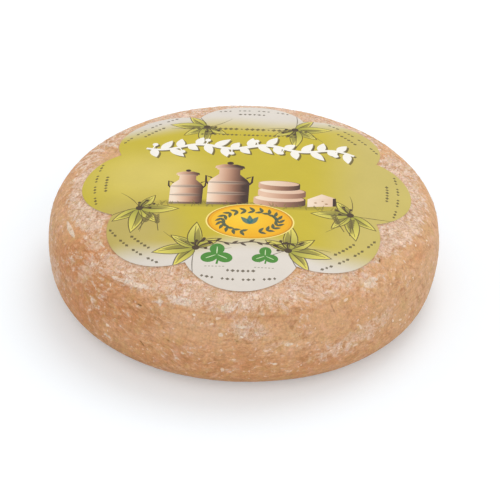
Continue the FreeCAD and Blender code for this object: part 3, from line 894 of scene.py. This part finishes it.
# A round amber cheese from above, a ring of dark leaves pressed into its top.
AMBER = (3, -32)
AMBER_HALF = (22.0, 14.6)
for share, ink in ((1.0, "#F1DF84"), (0.965, "#C98A16"), (0.93, "#E9A818")):
    lay(oval(*AMBER, AMBER_HALF[0] * share, AMBER_HALF[1] * share, 48), ink)
lay(oval(*AMBER, AMBER_HALF[0] * 0.87, AMBER_HALF[1] * 0.86, 44), blend(["#F6CB34", "#EDB01C"],
    lambda px, py: math.hypot(px - AMBER[0] + 4, (py - AMBER[1] - 3) * 1.4) / 20))
for turn in range(-72, 260, 17):
    ring_x = AMBER[0] + 14.4 * math.cos(math.radians(turn))
    ring_y = AMBER[1] + 8.9 * math.sin(math.radians(turn))
    for side in (-1, 1):
        pressed = move(leaf(4.4, 1.9, 0.1 * side, 4), ring_x, ring_y, turn + 90 + side * 32)
        lay(pressed, "#1F4C46", 0.9)
for turn in (55, 90, 125):
    lay(move(leaf(7.6, 3.0, 0.05), AMBER[0], AMBER[1] - 2.5, turn), "#2A6A6E", 0.9)

# A thin twig below it, then two clover leaves.
twig = [(x, -49.6 + 0.9 * math.sin(x / 3.1)) for x in np.linspace(-28, 30, 44)]
lay(stroke(twig, 0.9, 0.5), DARK_BROWN, 0.9)
for i in range(2, 42, 3):
    side = 1 if i % 2 else -1
    lay(move(leaf(3.9, 1.5, 0.1 * side), *twig[i], 30 * side), DARK_BROWN, 0.9)
CLOVER_GREEN = "#4A8634"
for x, y, size in ((-12.0, -59.5, 1.15), (11.5, -59.5, 0.95)):
    lay(move(stroke([(0, 0), (0.6, -3), (0.2, -6.2)], 0.9), x, y, 0, size), CLOVER_GREEN)
    for turn in (90, 210, 330):
        lay(move(oval(3.7, 0, 3.7, 3.2, 20), x, y, turn, size), CLOVER_GREEN)
        lay(move(stroke([(0.6, 0), (3, 0), (5.2, 0)], 0.5, 0.4), x, y, turn, size), "#CFE0B4")
for start in (-17, 7):
    for x in np.arange(start, start + 9, 1.7):
        lay(move([(-0.5, -0.3), (0.5, -0.3), (0.5, 0.3), (-0.5, 0.3)], x, -68.2), "#8A8570", 0.7)

# Ears of corn at the two sides.
for x, y, turn, size in ((-49, -34, 68, 1.0), (-42.5, -35, 96, 0.9), (47, -30, 112, 1.0), (53, -33, 84, 0.9)):
    lay(move(stroke([(-7, 0), (0, 0.3), (6, 0)], 0.5), x, y, turn, size), "#6B5F35")
    for i in range(5):
        for side in (-1, 1):
            grain_leaf = move(leaf(3.0, 1.2, 0.1 * side, 4), -0.5 + 1.7 * i, 0.2, 26 * side)
            lay(move(grain_leaf, x, y, turn, size), "#6B5F35", 0.85)

# The sheet's mesh: the print's outlines and a plain grid, cut into one set of triangles.
points, faces = [], []
for outline, ink, cover in prints:
    faces.append(list(range(len(points), len(points) + len(outline))))
    points += outline
edge_reach = LOBE_TIP / MM
for j, y in enumerate(np.arange(-edge_reach, edge_reach, SHEET_GRID * 0.87)):
    for x in np.arange(-edge_reach + (j % 2) * SHEET_GRID / 2, edge_reach, SHEET_GRID):
        if inside_sheet(x * MM, y * MM) > EDGE_CLEAR:
            points.append((float(x), float(y)))
cut_points, _, cut_faces, _, _, sources = delaunay_2d_cdt(
    [Vector(point) for point in points], [], faces, 1, 1e-5)
inked = [(corners, sorted(found)) for corners, found in zip(cut_faces, sources) if 0 in found]

crown = smooth_points(section, np.linspace(0, CROWN_REACH, 500))
turn = Quaternion((0, 0, 1), LABEL_TURN)
# It cockles a little all over, more round its rim, and has two creases at the left. Heights are in mm.
sheet_points = []
for point in cut_points:
    spot = turn @ Vector((point.x, point.y, 0)) * MM
    x, y = spot.x + LABEL_MIDDLE.x, spot.y + LABEL_MIDDLE.y
    reach = math.hypot(point.x, point.y)
    cockle = 0.035 * math.sin(point.x / 5.3 + 1.2 * math.sin(point.y / 9)) * math.sin(point.y / 6.1 + 0.7)
    left = step_between(-75, -52, point.x) * (1 - step_between(-40, -26, point.x))
    for crease, lean in ((-4.2, 0.05), (-9.5, -0.04)):
        cockle += 0.15 * left * math.exp(-((point.y - crease - lean * point.x) / 0.9) ** 2)
    rim = step_between(60, 83, reach)
    cockle += 0.06 * rim * math.sin(math.atan2(point.y, point.x) * 13 + reach / 9)
    level = np.interp(math.hypot(x, y), crown[:, 0], crown[:, 1])
    sheet_points.append((x, y, level + SHEET_TOP + cockle * MM))

label = new_piece("printed_sheet", sheet_points, [corners for corners, found in inked])
layer = label.data.color_attributes.new("print", "FLOAT_COLOR", "CORNER")
colours = np.ones((len(label.data.loops), 4), np.float32)
for face, (corners, found) in zip(label.data.polygons, inked):
    for loop in face.loop_indices:
        x, y = cut_points[label.data.loops[loop].vertex_index]
        colour = np.zeros(3)
        for source in found:
            ink, cover = prints[source][1:]
            colour = colour + ((ink(x, y) if callable(ink) else ink) - colour) * cover
        colours[loop, :3] = colour
layer.data.foreach_set("color", colours.ravel())
label.data.shade_smooth()

# Coated label paper, offset printed: a flat, even ink layer under a thin satin varnish, faint fibres in it.
printed_paper = new_material("varnished_label_paper")
paper = printed_paper.node_tree
ink = add_node(paper, "VertexColor", layer_name="print").outputs["Color"]
spot = add_node(paper, "TexCoord").outputs["Object"]
fibres = add_node(paper, "TexNoise", {"Vector": spot, "Scale": 1100.0, "Detail": 2.0})
clouds = add_node(paper, "TexNoise", {"Vector": spot, "Scale": 70.0, "Detail": 3.0})
uneven = add_node(paper, "Math", (clouds, 0.12, 0.9), operation="MULTIPLY_ADD")
uneven = add_node(paper, "Math", (fibres, 0.06, uneven), operation="MULTIPLY_ADD")
tone = add_node(paper, "VectorMath", {0: ink, "Scale": uneven}, operation="SCALE")
bump = add_node(paper, "Bump", {"Height": clouds, "Strength": 0.25, "Distance": 0.4 * MM})
surface = add_node(paper, "BsdfPrincipled", {
    "Base Color": tone, "Roughness": 0.5, "IOR": 1.5, "Specular IOR Level": 0.2, "Normal": bump})
add_node(paper, "OutputMaterial", {"Surface": surface})

# The same paper where it has no ink: its cut edge and its back, dulled by glue.
bare_paper = new_material("uncoated_paper_edge")
tree = bare_paper.node_tree
spot = add_node(tree, "TexCoord").outputs["Object"]
fibres = add_node(tree, "TexNoise", {"Vector": spot, "Scale": 900.0, "Detail": 2.0})
surface = add_node(tree, "BsdfPrincipled", {
    "Base Color": coat_over(tree, "#C9BCA2", "#E4DACA", fibres), "Roughness": 0.9})
add_node(tree, "OutputMaterial", {"Surface": surface})

put_on(label, printed_paper, bare_paper)
wall = label.modifiers.new("sheet_thickness", "SOLIDIFY")
wall.thickness = SHEET_THICKNESS
wall.offset = -1
wall.material_offset = 1
wall.material_offset_rim = 1
graph = bpy.context.evaluated_depsgraph_get()
thick = bpy.data.meshes.new_from_object(label.evaluated_get(graph))
label.modifiers.clear()
label.data = thick
label.data.set_sharp_from_angle(angle=math.radians(50))
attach(label, "root")
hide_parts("label")

# --- Floor, light and camera -----------------------------------------------------------------------------
# A white studio sweep under soft light from above and a little from the front, as for a shop's card. The
# floor looks white to the eye and keeps the wheel's shadow, and throws back no more light than paper does.
FLOOR_TAKES = 0.7
COOL = (1.0, 1.06, 1.11)
NEAR_GLOW = 0.27
FAR_GLOW = 0.5
AIR_LIGHT = 0.8
WHITE = (1, 1, 1, 1)


def seen_itself(tree):
    """1 where the floor or the air is seen, also in a mirror or through glass, and 0 for other light."""
    rays = add_node(tree, "LightPath").outputs
    seen = rays["Is Camera Ray"]
    for name in ("Is Glossy Ray", "Is Transmission Ray"):
        seen = add_node(tree, "Math", (seen, rays[name]), operation="MAXIMUM")
    return seen


# Near the wheel the floor is a little cool, which takes out the warm light the wheel throws on it. Farther
# off it glows more, so the sweep stays white to the edge of the view.
floor = new_piece("studio_floor", [(-6, -6, 0), (6, -6, 0), (6, 6, 0), (-6, 6, 0)], [(0, 1, 2, 3)])
floor_paint = new_material("white_studio_floor")
tree = floor_paint.node_tree
place = add_node(tree, "TexCoord").outputs["Object"]
away = add_node(tree, "VectorMath", (place,), operation="LENGTH")
away = add_node(tree, "MapRange", {"Value": away, "From Min": 0.125, "From Max": 0.3})
level = add_node(tree, "MapRange", {"Value": away, "To Min": NEAR_GLOW, "To Max": FAR_GLOW})
tint = coat_over(tree, [FLOOR_TAKES * part for part in COOL] + [1], [FLOOR_TAKES] * 3 + [1], away)
glow = add_node(tree, "Emission", {"Color": WHITE, "Strength": level})
takes = add_node(tree, "BsdfDiffuse", {"Color": tint})
shown = add_node(tree, "AddShader", (glow, takes))
plain = add_node(tree, "BsdfDiffuse", {"Color": (0.8, 0.8, 0.8, 1)})
sweep = add_node(tree, "MixShader", (seen_itself(tree), plain, shown))
add_node(tree, "OutputMaterial", {"Surface": sweep})
put_on(floor, floor_paint)
floor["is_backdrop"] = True

world = bpy.data.worlds.new("studio_air")
bpy.context.scene.world = world
world.use_nodes = True
air = world.node_tree
air.nodes.clear()
lit = add_node(air, "Background", {"Color": WHITE, "Strength": AIR_LIGHT})
white = add_node(air, "Background", {"Color": WHITE, "Strength": 1.0})
both = add_node(air, "MixShader", (seen_itself(air), lit, white))
add_node(air, "OutputWorld", {"Surface": both})

for name, spot, aim, size, power in (
    ("overhead", (0.26, 0.5, 1.2), (0, 0, 0), 0.8, 4.8),
    ("front", (0.32, -1.45, 0.6), (0, 0, 0.03), 0.9, 3.0),
):
    lamp = bpy.data.lights.new(name, "AREA")
    lamp.shape = "DISK"
    lamp.size = size
    lamp.energy = power
    holder = bpy.data.objects.new(name, lamp)
    holder.location = spot
    holder.visible_camera = False
    holder.rotation_mode = "QUATERNION"
    holder.rotation_quaternion = (Vector(aim) - Vector(spot)).to_track_quat("-Z", "Y")
    bpy.context.scene.collection.objects.link(holder)

ELEVATION = math.radians(34.697)
DISTANCE = 1.2946
ROLL = math.radians(1.024)
LENS = 182.2
SENSOR = 36
WIDEST_LEVEL = 25.2 * MM
AIM_RIGHT = 3.10 * MM
AIM_DOWN = 6.94 * MM
centre = Vector((0, 0, WIDEST_LEVEL))
forward = Vector((0, math.cos(ELEVATION), -math.sin(ELEVATION)))
right = Vector((1, 0, 0))
up = right.cross(forward)
sideways = right * math.cos(ROLL) + up * math.sin(ROLL)
upwards = up * math.cos(ROLL) - right * math.sin(ROLL)
lens = bpy.data.cameras.new("camera")
lens.sensor_width = SENSOR
lens.lens = LENS
camera = bpy.data.objects.new("camera", lens)
camera.location = centre - forward * DISTANCE
looks_at = centre + sideways * AIM_RIGHT - upwards * AIM_DOWN
camera.rotation_mode = "QUATERNION"
aim = (looks_at - camera.location).to_track_quat("-Z", "Y")
camera.rotation_quaternion = aim @ Quaternion((0, 0, 1), ROLL)
bpy.context.scene.collection.objects.link(camera)
bpy.context.scene.camera = camera
bpy.context.scene.view_settings.view_transform = "Standard"

low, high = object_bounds()
